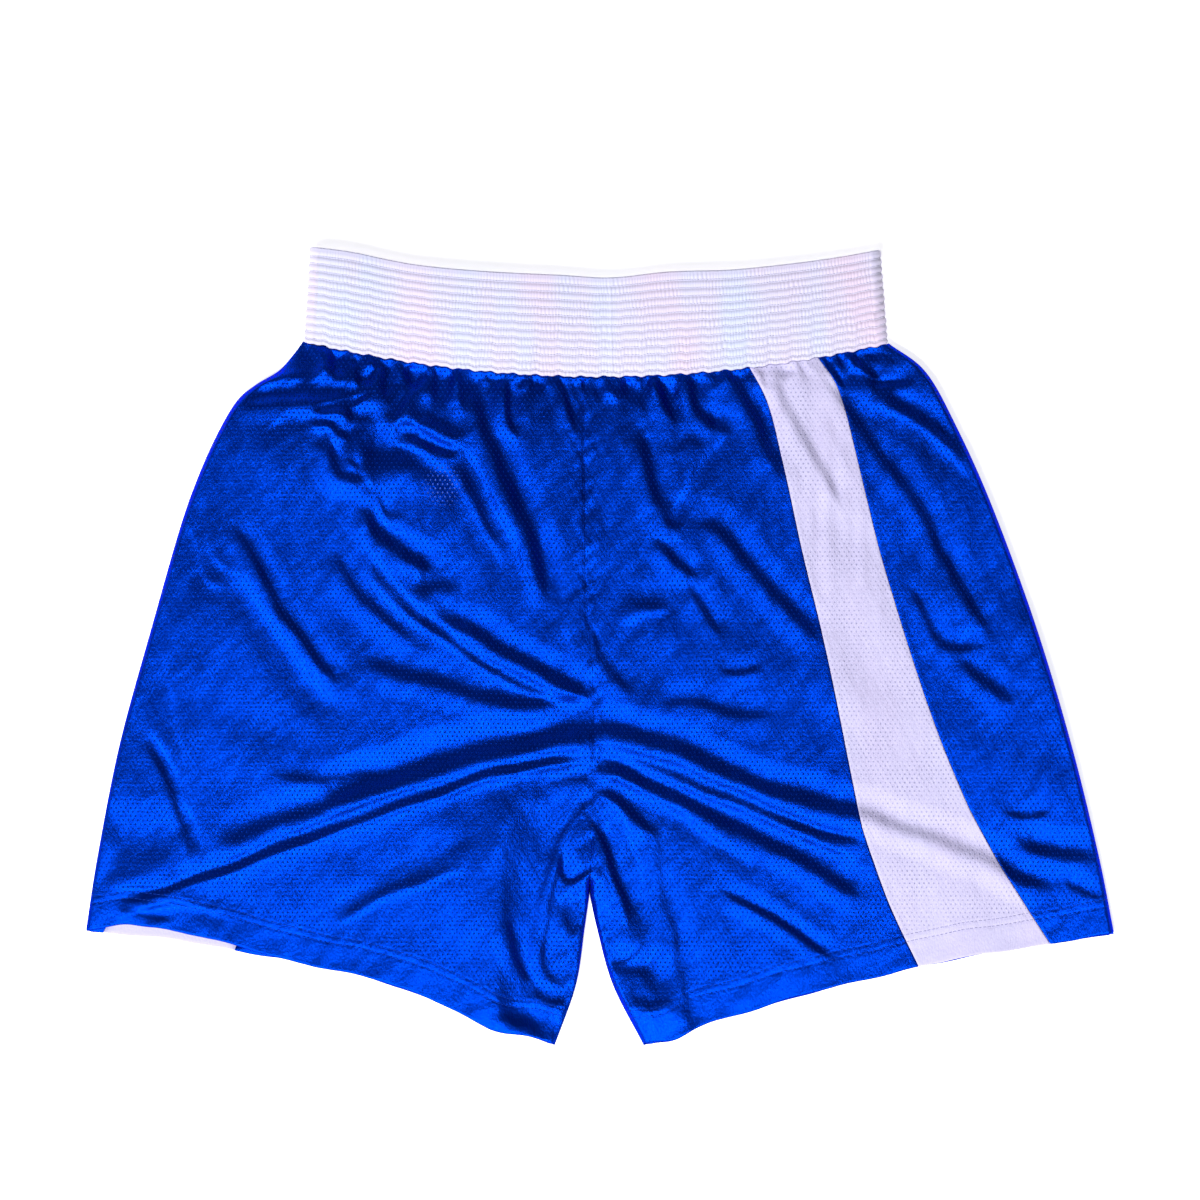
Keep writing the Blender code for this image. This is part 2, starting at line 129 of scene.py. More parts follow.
FOLDS = [
    # right leg, from the crotch out to the hem's corner
    (54, 5.6, -2, -52, -60, -63, -120, -80, -168, -96), (28, 4.6, -146, -88, -188, -105, -240, -123),
    (-30, 1.2, -6, -64, -40, -68, -80, -78, -120, -90, -160, -104, -240, -136, -270, -148, -303, -150),
    (50, 2.6, -12, -70, -60, -77, -100, -90, -140, -105, -180, -119, -260, -149, -297, -160),
    (-26, 1.3, -8, -73, -50, -80, -80, -88, -120, -102, -160, -116, -240, -145, -288, -159),
    (22, 2.6, -135, -79, -172, -82, -205, -81), (50, 2.9, -99, 18, -75, 8, -55, -5, -17, -25, -4, -36),
    (-22, 1.5, -146, 64, -128, 41, -108, 22, -70, -7, -30, -27, -4, -35),
    (22, 1.7, -128, 30, -110, 15, -80, -6, -50, -24, -26, -31),
    (-18, 1.5, -146, 46, -125, 22, -95, 0, -65, -20, -50, -28, -4, -37),
    (32, 3.4, -146, -9, -95, -24, -65, -33, -24, -37), (30, 2.8, -165, 60, -150, 33, -116, 2),
    # right leg, the broad outer part
    (-16, 1.6, -271, 30, -268, -20, -261, -50, -257, -84), (-16, 1.5, -282, -46, -270, -66, -259, -92),
    (36, 2, -281, -56, -260, -108, -252, -134), (-18, 1, -259, -94, -251, -112, -248, -128),
    (16, 11, -302, -132, -262, -133), (-18, 1.3, -296, -168, -270, -160, -250, -163, -225, -170),
    (20, 2, -304, -162, -262, -171), (45, 2.2, -228, 76, -205, 38, -195, 18, -162, -24),
    (-16, 4.5, -232, 44, -214, 30, -178, -22, -158, -40), (-14, 1.4, -245, 96, -243, 60, -228, 45, -214, 44),
    (-13, 1.4, -257, 80, -251, 62, -248, 48, -240, 38, -226, 34),
    # right leg, near the hem
    (-24, 1.2, -166, -175, -130, -157, -96, -143, -82, -139), (19, 3.2, -166, -170, -140, -156, -92, -136),
    (9, 4.5, -150, -148, -72, -121), (30, 8, -50, -96, -57, -140, -60, -238),
    (34, 2.2, -43, -212, -32, -220, -18, -221), (20, 4, -66, -226, -34, -240),
    # the crotch, right side
    (26, 2.2, -34, -88, -18, -83, -4, -82),
    (-42, 1, -8, -97, -19, -110, -28, -128, -39, -168, -43, -190, -41, -205, -32, -214, -19, -216),
    (34, 1.8, -14, -112, -23, -130, -29, -152, -35, -196, -28, -209, -18, -211),
    (40, 1.7, -57, -168, -54, -186, -42, -213), (-30, 0.9, -10, -104, -21, -130, -21, -140),
    (55, 1.1, -24, -126, -25, -138, -19, -146, -3, -136), (40, 1.2, -9, -112, -14, -134),
    (32, 3, -18, -182, -22, -164, -17, -148), (20, 11, -36, -80, -44, -190, -44, -246),
    # right leg, under the band
    (60, 3.6, -81, 184, -76, 148, -57, 102, -38, 52, -34, 26),
    (-22, 1.6, -83, 124, -62, 84, -52, 62, -45, 36), (-16, 2, -106, 118, -93, 105, -69, 68, -59, 42),
    (22, 2.4, -92, 116, -59, 58), (-14, 1.6, -33, 142, -32, 100, -26, 55, -21, 10, -16, -18),
    (50, 1.4, -31, 182, -14, 130), (50, 1.6, -58, 168, -57, 142, -49, 127),
    (55, 2.6, -135, 190, -135, 164, -132, 156, -126, 153),
    (50, 1.8, -154, 188, -152, 168, -147, 163, -138, 162), (40, 2.5, -168, 190, -167, 166),
    (42, 1.8, -110, 167, -129, 136), (34, 2, -105, 188, -102, 146), (13, 8, -128, 160, -76, 141),
    (40, 1.8, -91, 186, -84, 144), (40, 3.8, -118, 140, -102, 138, -84, 128),
    (-34, 1.3, -131, 126, -121, 138, -95, 126, -80, 121), (50, 2, -124, 131, -88, 117),
    (-28, 1.1, -131, 126, -102, 117), (32, 6, -150, 128, -140, 116, -108, 116),
    (-28, 1.1, -152, 136, -152, 124, -148, 110, -138, 92, -134, 78, -112, 64), (42, 1.3, -142, 101, -130, 77),
    (52, 3, -152, 87, -144, 82, -135, 68, -100, 43), (26, 3.5, -118, 34, -102, 37, -86, 36),
    (38, 3, -226, 151, -140, 157), (-18, 2, -220, 159, -196, 163, -170, 164, -140, 161),
    (28, 2.4, -216, 164, -184, 171), (-22, 1.3, -181, 145, -174, 150, -140, 157),
    (55, 2.6, -178, 146, -160, 146, -151, 136), (50, 1.3, -156, 147, -141, 157),
    (-24, 1.4, -212, 131, -200, 137, -188, 144, -164, 142, -153, 135),
    (42, 1.7, -178, 139, -168, 138, -161, 131, -153, 127),
    (-24, 1.1, -180, 141, -175, 135, -167, 133, -159, 112), (55, 2.6, -169, 132, -162, 108, -143, 103),
    (40, 1.4, -158, 117, -146, 108), (55, 2.2, -167, 190, -164, 166), (42, 1.4, -144, 188, -139, 168),
    (45, 2, -122, 186, -121, 172, -117, 162, -111, 160), (40, 1.6, -74, 184, -72, 170, -66, 160),
    (40, 1.5, -46, 182, -42, 158), (35, 1.3, -10, 180, -11, 166, -8, 154),
    # left leg, from the crotch outwards
    (46, 3.6, -4, -50, 20, -54, 60, -68, 100, -86, 140, -97, 180, -109, 230, -128, 276, -150),
    (-22, 1.6, -4, -59, 40, -71, 80, -88, 120, -105, 160, -119),
    (28, 2, 20, -68, 60, -86, 100, -103, 135, -115, 162, -124),
    (-22, 1.5, -4, -68, 15, -71, 45, -85, 75, -98, 105, -110, 158, -133),
    (44, 2.9, -4, -77, 15, -78, 45, -92, 75, -108, 105, -122, 135, -138, 164, -156),
    (-22, 1.9, -4, -84, 12, -84, 40, -98, 70, -118, 98, -138), (50, 2.2, -5, -90, 8, -94, 38, -120),
    (50, 1.4, 74, -152, 95, -162, 120, -177, 146, -195), (-18, 1.4, 96, -157, 120, -170, 146, -189),
    (24, 3, 4, -198, 34, -204), (22, 7, 10, -208, 50, -214), (26, 3.4, 14, -218, 32, -224, 46, -218),
    (30, 3.2, 36, -116, 38, -150, 46, -180, 58, -242), (60, 1.7, -6, -106, 2, -122, 15, -156, 20, -174),
    (-42, 1, -4, -91, 8, -99, 17, -112, 24, -132, 28, -156, 28, -178, 24, -190, 14, -195, 4, -194),
    (29, 1.4, 2, -135, 8, -166), (18, 10, 8, -118, 40, -244),
    # left leg, under the band
    (49, 3.4, 22, 140, 40, 76), (33, 1.5, 38, 82, 43, 76, 54, 75),
    (-20, 1.5, 41, 80, 52, 95, 60, 112, 78, 130), (39, 2, 32, 68, 50, 50, 64, 40),
    (34, 2.4, 52, 36, 60, 30, 75, 3), (39, 3.1, 60, 71, 72, 73, 102, 39, 138, 2),
    (-18, 2, 14, 11, 28, 20, 46, 22), (16, 3, 16, 27, 44, 24), (31, 2.4, -3, 14, -1, -6, 8, -19, 24, -29),
    (23, 2.6, 34, -36, 62, -36, 88, -42, 112, -44), (27, 1.5, 73, -14, 84, -15, 100, -12),
    (43, 1.8, 32, 176, 38, 155, 48, 137), (43, 2.3, 52, 180, 58, 152, 66, 141, 82, 131),
    (34, 3, 15, 178, 16, 150), (33, 3, 74, 181, 101, 134, 111, 104), (21, 2, 57, 132, 46, 117),
    (30, 2.5, 105, 184, 116, 148, 136, 113, 150, 84), (37, 2.4, 4, 180, 10, 152),
    (40, 1.4, 26, 180, 27, 168, 30, 160), (40, 1.4, 66, 182, 69, 170, 76, 162), (40, 1.5, 92, 184, 104, 158),
    # left leg, outer side
    (34, 2.8, 135, 168, 157, 142, 178, 113, 200, 84, 214, 54, 243, 3), (34, 2, 136, 187, 146, 168, 154, 158),
    (34, 1.4, 154, 186, 166, 171, 176, 165), (-24, 1.2, 153, 166, 160, 172, 172, 166, 186, 169),
    (38, 2.1, 162, 167, 175, 162, 196, 164), (31, 3, 168, 160, 208, 134, 226, 118),
    (-18, 2, 160, 152, 190, 140, 212, 123, 232, 100), (30, 2.2, 187, 40, 198, 26, 208, 6, 220, -2, 240, -1),
    (32, 2.8, 218, -6, 258, -37), (26, 1.5, 249, -103, 264, -105, 280, -102),
    (36, 4, 256, -121, 285, -129, 312, -131), (20, 1.6, 286, -147, 312, -157),
]

# ---- Curves, waves and folds ----


def smoothstep(value, low=0.0, high=1.0):
    t = np.clip((value - low) / (high - low), 0, 1)
    return t * t * (3 - 2 * t)


def fall(value, low, high):
    """1 up to the low value, and smoothly down to 0 at the high one."""
    return 1 - smoothstep(value, low, high)


def hump(value):
    """1 at 0, falling off smoothly on both sides."""
    return np.exp(-(value**2))


def unit(vectors):
    return vectors / np.maximum(np.linalg.norm(vectors, axis=-1, keepdims=True), 1e-12)


def stacked(*values):
    """Coordinates side by side in a last axis."""
    return np.stack(np.broadcast_arrays(*values), axis=-1)


def distances(path):
    """How far along its path each point is."""
    return np.concatenate([[0], np.cumsum(np.linalg.norm(np.diff(path, axis=0), axis=1))])


def smooth_curve(points, count=400):
    """Evenly spaced points on the smooth curve through the given ones."""
    given = np.array(points, float)
    p = np.vstack([2 * given[0] - given[1], given, 2 * given[-1] - given[-2]])
    t = np.linspace(0, 1, 20, endpoint=False)[:, None]
    runs = [
        0.5 * (2 * b + (c - a) * t + (2 * a - 5 * b + 4 * c - d) * t**2 + (3 * b - a - 3 * c + d) * t**3)
        for a, b, c, d in zip(p, p[1:], p[2:], p[3:])
    ]
    line = np.vstack(runs + [given[-1:]])
    along = distances(line)
    return between(np.linspace(0, along[-1], count), along, line)


def between(at, along, line):
    """Points of a line at some distances along it, from the distances of its own points."""
    return stacked(*(np.interp(at, along, values) for values in line.T))


def at_share(curve, share):
    """Points of an evenly spaced curve at shares of its length."""
    return between(share, np.linspace(0, 1, len(curve)), curve)


class Ripples:
    """Soft random waves over a plane: about 1 high, with lengths near the given one."""

    def __init__(self, length, seed, stretch=1.0, angle=0.0, count=18):
        rng = np.random.default_rng(seed)
        heading = rng.uniform(0, 2 * np.pi, count)
        scale = 2 * np.pi / (length * rng.uniform(0.7, 1.5, count))
        kx, ky = np.cos(heading) * scale, np.sin(heading) * scale / stretch
        kx, ky = kx * math.cos(angle) - ky * math.sin(angle), kx * math.sin(angle) + ky * math.cos(angle)
        self.waves = list(zip(kx, ky, rng.uniform(0, 2 * np.pi, count)))

    def __call__(self, x, y):
        total = sum(np.cos(kx * x + ky * y + phase) for kx, ky, phase in self.waves)
        return total * math.sqrt(2 / len(self.waves))


BEND_X, BEND_Y = Ripples(45, 3), Ripples(45, 4)
SOFT = Ripples(46, 11, stretch=1.4, angle=0.5)
FINE = Ripples(17, 12, stretch=1.8, angle=-0.4)
TINY = Ripples(6.5, 13, stretch=1.5)
STREAKS = Ripples(13, 14, stretch=7)
HEM_PUCKERS = Ripples(13, 15, stretch=1.8, angle=-0.8)


def across_path(x, y, line, blur):
    """(signed distance from the line, positive on its left, and share of the way along it).

    Both are blended between the line's parts, so that no crease forms inside a bend. The share goes on
    beyond the ends.
    """
    weights = np.full(x.shape, 1e-12)
    signed, share = np.zeros(x.shape), np.zeros(x.shape)
    count = len(line) - 1
    for i, (a, b) in enumerate(zip(line, line[1:])):
        d = b - a
        length = math.hypot(*d)
        raw = ((x - a[0]) * d[0] + (y - a[1]) * d[1]) / length**2
        offset = (d[0] * (y - a[1]) - d[1] * (x - a[0])) / length
        away = offset * offset + ((raw - np.clip(raw, 0, 1)) * length) ** 2
        weight = 1 / (away + blur * blur) ** 3
        at = np.clip(raw, 0 if i else None, 1 if i < count - 1 else None)
        weights += weight
        signed += weight * offset
        share += weight * (i + at) / count
    return signed / weights, share / weights


LIGHT_SIDE = np.array((-0.5, -0.87))  # a slope that looks this way is bright
BRIGHTEST = -0.40  # a steeper slope towards the light looks past it and is darker again
GATHERS_Y = 120  # folds above this, in millimetres, belong to the gathers


def fold_slope(slope, width, y):
    """Makes narrow folds and those of the gathers crisper."""
    gain = 1 + 0.2 * min(max(2.4 - width, 0), 1)
    gain *= 1.5 if slope < 0 else 1.7 if y > GATHERS_Y else 1.2
    return max(slope * gain, BRIGHTEST)


def add_fold(total, x, y, steepness, width, *path):
    """Adds one fold to the height field, in millimetres: a steep band, and a slow way back on both sides."""
    points = np.reshape(path, (-1, 2))
    line = smooth_curve(points, 5 * len(points))
    length = distances(line)[-1]
    fade = min(max(0.25 * length, 7), 16) / length
    reach = min(8 + 3 * width, 5 + 2.5 * width + 0.45 * length)
    low, high = line.min(0) - reach, line.max(0) + reach
    near = (x > low[0]) & (x < high[0]) & (y > low[1]) & (y < high[1])
    if not near.any():
        return
    signed, share = across_path(x[near], y[near], line, 0.6 * width)
    ends = smoothstep(share, -0.03, fade) * smoothstep(1 - share, -0.03, fade)
    along = line[-1] - line[0]
    signed *= np.sign(np.array((-along[1], along[0])) @ LIGHT_SIDE)
    wide = width * (0.55 + 0.45 * ends)
    step = np.tanh(0.8 * signed / wide) * 1.25
    slope = fold_slope(steepness / 100, width, line[:, 1].mean())
    total[near] += slope * wide * ends * step * np.clip(1 - (signed / reach) ** 2, 0, 1) ** 2


# ---- The shape of the garment ----


def waist_y(x):
    ripple = 0.0004 * np.sin(430 * x) + 0.0003 * np.sin(910 * x)
    return BAND_SEAM_LOW + BAND_SEAM_RISE * (x / BAND_HALF) ** 2 + ripple


def gathers(x, y, side, facing):
    """Depth of the pleats under the band, in millimetres, at points given in millimetres."""
    below = waist_y(x * MM) / MM - y
    total = np.zeros(x.shape)
    near = below < 95
    if not near.any():
        return total
    rng = np.random.default_rng({"left": 21, "right": 22}[side] + (0 if facing > 0 else 50))
    start = CENTRE_SEAM_X / MM
    across = (176 if side == "left" else -181) - start
    count = GATHER_COUNT[side]
    places = start + across * (np.arange(count) + 0.5 + rng.uniform(-0.42, 0.42, count)) / count
    lengths = rng.choice([7, 10, 14, 20], count) * rng.uniform(0.8, 1.3, count)
    widths = rng.uniform(1.5, 2.8, count)
    depths = rng.uniform(1.6, 3.4, count)
    drifts = (places - start) / abs(across) * rng.uniform(0.05, 0.55, count)
    drifts += rng.uniform(-0.12, 0.12, count)
    x, below = x[near], below[near]
    for place, drift, length, width, depth in zip(places, drifts, lengths, widths, depths):
        path = place + drift * below + 0.6 * np.sin(below / 7 + place)
        d = (x - path) / (width * (1 + 1.3 * below / (length + 12)))
        fade = depth * fall(below, 0.35 * length, 1.25 * length)
        total[near] -= fade * np.exp(-0.5 * d * d)
        total[near] += 0.35 * fade * np.exp(-0.5 * ((np.abs(d) - 2.0) / 0.8) ** 2)
    return total


def stripe_edges(facing, v):
    """The u of the stripe's two edges."""
    centre, width = (sum(c * v**i for i, c in enumerate(terms)) for terms in (STRIPE_CENTRE, STRIPE_WIDTH))
    if facing < 0:
        centre = centre + BACK_STRIPE_SHIFT
    return centre - width / 2, centre + width / 2


class Leg:
    """One leg's cloth. u runs from the centre seam or inseam to the side seam, v from the hem to the waist.

    facing is 1 for the front and -1 for the back.
    """

    def __init__(self, side):
        self.side = side
        self.sign = 1 if side == "left" else -1
        self.inseam = MM * smooth_curve(INSEAM[side])
        self.outseam = MM * smooth_curve(SIDE_SEAM[side])
        self.wander = smooth_curve(CENTRE_SEAM_WANDER)

    def inner(self, v):
        v = np.asarray(v, float)
        low = at_share(self.inseam, np.clip(v / FORK_V, 0, 1))
        y = FORK_Y + (waist_y(CENTRE_SEAM_X) - FORK_Y) * (v - FORK_V) / (1 - FORK_V)
        x = CENTRE_SEAM_X + MM * np.interp(y, *self.wander.T)
        return np.where((v < FORK_V)[..., None], low, stacked(x, y))

    def outer(self, v):
        return at_share(self.outseam, v)

    def width(self, v):
        return np.linalg.norm(self.outer(v) - self.inner(v), axis=-1)

    def plan(self, u, v, facing):
        """Where a point lies, seen from above."""
        u, v = np.broadcast_arrays(np.asarray(u, float), np.asarray(v, float))
        rise = HEM_RISE[self.side] * np.sin(np.pi * u)
        if self.side == "right" and facing > 0:
            rise = rise + 0.0075 * smoothstep(u, 0.55, 0.86) * smoothstep(1 - u, 0.0, 0.1)
        for size, middle, half in HEM_WAVES[self.side]:
            rise = rise + size * hump((u - middle) / half)
        rise = rise + 0.0006 * np.sin(19 * u + 1.5 * facing) + 0.0003 * np.sin(47 * u)
        u, v = u[..., None], v[..., None]
        straight_hem = self.inner(0.0) + (self.outer(0.0) - self.inner(0.0)) * u
        straight_waist = self.inner(1.0) + (self.outer(1.0) - self.inner(1.0)) * u
        hem, waist = straight_hem.copy(), straight_waist.copy()
        hem[..., 1] += rise
        waist[..., 1] = waist_y(waist[..., 0])
        along = hem * (1 - v) + waist * v
        across = self.inner(v[..., 0]) * (1 - u) + self.outer(v[..., 0]) * u
        return along + across - (straight_hem * (1 - v) + straight_waist * v)

    def height(self, x, y, u, v, facing):
        """The height of the outer face away from the edges. x, y and the height are in millimetres."""
        below = (1 - v) * CLOTH_LENGTH / MM
        hem_gap = v * CLOTH_LENGTH
        from_inner, from_side = u * self.width(v), (1 - u) * self.width(v)
        seam = hump(from_inner / MM / 1.5) * smoothstep(v, FORK_V, FORK_V + 0.03)
        stitches = sum(hump((hem_gap - row) / 0.0007) for row in HEM_STITCH_ROWS)
        if facing < 0:
            rise = 0.5 + 0.5 * SOFT(x + 400, y) + 0.16 * FINE(x + 400, y)
            rise = np.maximum(rise, 0) * smoothstep(hem_gap, 0.0, 0.03)
            rise += 0.48 * hump(below / 16) - 0.7 * gathers(x, y, self.side, facing)
            return np.maximum(rise + 0.7 * seam + 0.35 * stitches, 0)
        total = np.zeros(x.shape)
        bent = x + 0.5 * BEND_X(x, y), y + 0.5 * BEND_Y(x, y)
        for fold in FOLDS:
            add_fold(total, *bent, *fold)
        hem_calm = 0.6 + 0.4 * smoothstep(hem_gap, 0.004, 0.05)
        total += (0.22 * SOFT(x, y) + 0.14 * FINE(x, y) + 0.05 * TINY(x, y)) * hem_calm
        total += 0.26 * STREAKS(x, y) * smoothstep(y, -40, 60)
        total += 0.5 * gathers(x, y, self.side, facing)
        for size, middle_x, middle_y, half in SWELLS:
            away = (x - middle_x) ** 2 + (y - middle_y) ** 2
            total += size * np.exp(-away / half**2) * smoothstep(below, 0, 40)
        total *= 1 - 0.8 * hump(below / 4)
        total += 0.09 * HEM_PUCKERS(x, y) * fall(hem_gap, 0.014, 0.034)
        total += FRONT_LEVEL + 1.3 * hump((below - 84) / 42) - 1.1 * hump(below / 12)
        total -= HEM_FALL * fall(hem_gap, 0.0, 0.09)
        total -= SIDE_FALL[self.side] * fall(from_side, 0.0, 0.045)
        total -= INSEAM_FALL * fall(from_inner, 0.0, 0.045) * fall(v, 0.19, 0.27)
        total += 0.9 * np.sin(19 * u + 0.8) * fall(hem_gap, 0.0, 0.06)
        total += 0.15 * fall(hem_gap, 0.0205, 0.0245)
        total += stitches * (0.1 * TINY(x * 1.6, y * 1.6) - 0.16)
        total += 0.1 * TINY(x, y) * hump(from_inner / MM / 9) - 0.4 * seam
        if facing == self.sign:
            for edge in stripe_edges(facing, v):
                away = (u - edge) * self.width(v) / MM
                total -= 0.16 * hump(away / 0.8) - 0.12 * hump((away - 2.0) / 1.1)
        low, high = (edge + ease * np.tanh((total - edge) / ease) for edge, ease in (LOWEST, HIGHEST))
        return np.where(total < LOWEST[0], low, np.where(total > HIGHEST[0], high, total))

    def surface(self, u, v, facing):
        """Points of the outer face."""
        u, v = np.broadcast_arrays(np.asarray(u, float), np.asarray(v, float))
        x, y = np.moveaxis(self.plan(u, v, facing), -1, 0)
        full = self.height(x / MM, y / MM, u, v, facing) * MM
        from_edges = np.stack([1 - u, u]) * self.width(v)
        side, inner = (1 - (1 - np.clip(from_edges / TURN, 0, 1)) ** 2) ** 0.8
        drop = fall(self.inner(v)[..., 1] - FORK_Y, 0, SADDLE)
        seam_z = SIDE_SEAM_Z + 0.0016 * (v - 0.2)
        return stacked(x, y, seam_z + (full - seam_z) * side * (1 - drop * (1 - inner)))


# ---- Materials ----


class Paint:
    """A procedural material. A value is a number, a colour or vector, or another node's output."""

    def __init__(self, name, colour, roughness, metallic=0.0, sheen=0.0, specular=0.5):
        self.material = bpy.data.materials.new(name)
        self.material.use_nodes = True
        self.tree = self.material.node_tree
        self.shader = self.tree.nodes["Principled BSDF"]
        self.set("Base Color", colour)
        self.set("Roughness", roughness)
        self.set("Metallic", metallic)
        self.set("Sheen Weight", sheen)
        self.set("Specular IOR Level", specular)
        uv = self.add("UVMap")
        uv.uv_map = "cloth"
        self.place = uv.outputs[0]  # on the flat cloth, in metres
        self.x, self.y = self.add("SeparateXYZ", {0: self.place}).outputs[:2]

    def feed(self, socket, value):
        if isinstance(value, bpy.types.NodeSocket):
            self.tree.links.new(value, socket)
        else:
            socket.default_value = (*value, 1) if socket.type == "RGBA" else value

    def set(self, name, value):
        self.feed(self.shader.inputs[name], value)

    def add(self, kind, inputs=None):
        """A new node. inputs gives the values of its sockets, by number or name."""
        node = self.tree.nodes.new("ShaderNode" + kind)
        for key, value in (inputs or {}).items():
            self.feed(node.inputs[key], value)
        return node

    def math(self, operation, *values):
        node = self.add("Math", dict(enumerate(values)))
        node.operation = operation
        return node.outputs[0]

    def scaled(self, a, by, plus=0.0):
        return self.math("MULTIPLY_ADD", a, by, plus)

    def mix(self, factor, a, b):
        node = self.add("Mix")
        node.data_type = "RGBA"
        for number, value in ((0, factor), (6, a), (7, b)):
            self.feed(node.inputs[number], value)
        return node.outputs[2]

    def noise(self, scale, detail=2.0, y_scale=1.0):
        vector = self.add("Mapping", {"Vector": self.place, "Scale": (1.0, y_scale, 1.0)}).outputs[0]
        return self.add("TexNoise", {"Vector": vector, "Scale": scale, "Detail": detail}).outputs["Fac"]

    def wave(self, coordinate, pitch):
        """A wave from 0 to 1 along a coordinate, with the given pitch in metres."""
        return self.scaled(self.math("SINE", self.scaled(coordinate, 2 * math.pi / pitch)), 0.5, 0.5)

    def attribute(self, name):
        node = self.add("Attribute")
        node.attribute_name = name
        return node.outputs["Fac"]

    def finished(self, colour, roughness, relief, depth):
        """The material, once its colour, roughness and relief are wired up."""
        self.set("Base Color", colour)
        self.set("Roughness", roughness)
        self.set("Normal", self.add("Bump", {"Height": relief, "Distance": depth}).outputs[0])
        return self.material


HOLE_PITCH_X, HOLE_PITCH_Y, HOLE_RADIUS = 0.003, 0.0026, 0.00044
HOLE_LIGHT_SPOT = (-0.097, 0.099, 0)  # where the front is pulled taut; holes near it are painted lighter, as painted light coming through them


def hole_mask(paint):
    """1 in the small knitted holes, 0 between them. Every second row is set over by half a pitch."""
    rows = paint.math("DIVIDE", paint.y, HOLE_PITCH_Y)
    shift = paint.scaled(paint.math("PINGPONG", paint.math("FLOOR", rows), 1.0), 0.5)
    columns = paint.math("ADD", paint.math("DIVIDE", paint.x, HOLE_PITCH_X), shift)
    cell_x = paint.scaled(paint.math("FRACT", columns), HOLE_PITCH_X, -HOLE_PITCH_X / 2)
    cell_y = paint.scaled(paint.math("FRACT", rows), HOLE_PITCH_Y, -HOLE_PITCH_Y / 2)
    flat = paint.scaled(cell_y, 0.8)
    away = paint.math("SQRT", paint.scaled(cell_x, cell_x, paint.scaled(flat, flat)))
    sizes = {"Value": away, "From Min": HOLE_RADIUS * 1.45, "From Max": HOLE_RADIUS * 0.55}
    node = paint.add("MapRange", sizes)
    node.interpolation_type = "SMOOTHSTEP"
    return node.outputs[0]


def mesh_cloth(name, colour, dark, hole, hole_light, metallic, roughness):
    """Knitted mesh with a satin face: fine wales, small holes in rows painted dark with shade, and a slight
    unevenness. Near one spot the holes are painted lighter with painted light.
    """
    paint = Paint(name, colour, roughness, metallic, specular=0.08 if metallic else 0.25)
    patches = paint.noise(28, 3.0, 0.35)
    speckle = paint.noise(900, 2.0, 0.5)
    base = paint.mix(paint.scaled(speckle, 0.5, paint.scaled(patches, 0.6)), dark, colour)
    depth = paint.scaled(paint.noise(45, 3.0), 2.6, -0.5)
    holes = paint.scaled(hole_mask(paint), paint.scaled(paint.attribute("holes"), depth))
    # Painted light: the holes grow lighter towards this spot, as if light came through them.
    from_light_spot = paint.add("VectorMath", {0: paint.place, 1: HOLE_LIGHT_SPOT})
    from_light_spot.operation = "DISTANCE"
    hole_light_spot = paint.scaled(from_light_spot.outputs["Value"], -110.0, 1.6)
    hole_light_spot.node.use_clamp = True
    if metallic:
        paint.set("Specular Tint", (0.05, 0.18, 1.0))
        paint.set("Metallic", paint.scaled(holes, -metallic, metallic))
    rough = paint.scaled(holes, 0.3, paint.scaled(patches, 0.16, roughness - 0.08))
    knit = paint.scaled(paint.wave(paint.y, 0.00068), 0.5, paint.wave(paint.x, 0.00052))
    relief = paint.scaled(speckle, 5.0, paint.scaled(holes, -3.0, knit))
    # Painted shade: the holes take a dark colour for the shade seen through them. Near the taut spot it turns
    # to painted light.
    return paint.finished(paint.mix(holes, base, paint.mix(hole_light_spot, hole, hole_light)), rough, relief, 0.00006)


def shirred_cloth():
    """The waistband's plain white cloth: a fine weave, soft warm and cool patches, and painted shade in the
    rib grooves and pucker valleys.
    """
    paint = Paint("waistband_cloth", (0.86, 0.84, 0.90), 0.62, sheen=0.1)
    patches = paint.scaled(paint.noise(24, 2.0, 0.3), 3.2, -1.15)
    base = paint.mix(patches, (0.54, 0.58, 0.78), (0.64, 0.53, 0.69))
    # Painted shade: grooves and pucker valleys are darkened towards this colour.
    shaded = paint.mix(paint.scaled(paint.attribute("groove"), 0.22), base, (0.44, 0.41, 0.56))
    fuzz = paint.noise(1500)
    threads = paint.scaled(paint.wave(paint.x, 0.00045), paint.wave(paint.y, 0.00045), fuzz)
    return paint.finished(shaded, paint.scaled(fuzz, 0.2, 0.52), threads, 0.00005)


LAVENDER = (0.36, 0.35, 0.56)  # thread over a white stripe


def sewing_thread(name, colour, pale):
    """Twisted thread: slanting plies along the tube."""
    paint = Paint(name, colour, 0.5, specular=0.15)
    plies = paint.wave(paint.math("ADD", paint.x, paint.y), 0.0006)
    twisted = paint.mix(paint.attribute("pale"), paint.mix(plies, colour, pale), LAVENDER)
    return paint.finished(twisted, paint.scaled(plies, 0.2, 0.42), plies, 0.00008)


def ribbed_elastic():
    """Knitted elastic: white ribs along its length with a fine cross weave."""
    paint = Paint("elastic_cloth", (0.80, 0.80, 0.77), 0.8)
    ribs = paint.wave(paint.y, 0.0014)
    tone = paint.scaled(paint.wave(paint.x, 0.0008), 0.3, paint.scaled(ribs, 0.7))
    ribbed = paint.mix(tone, (0.62, 0.62, 0.60), (0.84, 0.84, 0.81))
    return paint.finished(ribbed, paint.scaled(ribs, 0.15, 0.7), tone, 0.0002)


def woven_label():
    """A blank satin-woven label."""
    paint = Paint("label_cloth", (0.82, 0.82, 0.82), 0.55, sheen=0.05)
    weave = paint.scaled(paint.wave(paint.x, 0.0003), paint.wave(paint.y, 0.0004))
    grain = paint.noise(600)
    tone = paint.scaled(grain, 0.4, paint.scaled(weave, 0.6))
    woven = paint.mix(tone, (0.70, 0.70, 0.72), (0.86, 0.86, 0.86))
    return paint.finished(woven, paint.scaled(grain, 0.2, 0.5), weave, 0.00004)


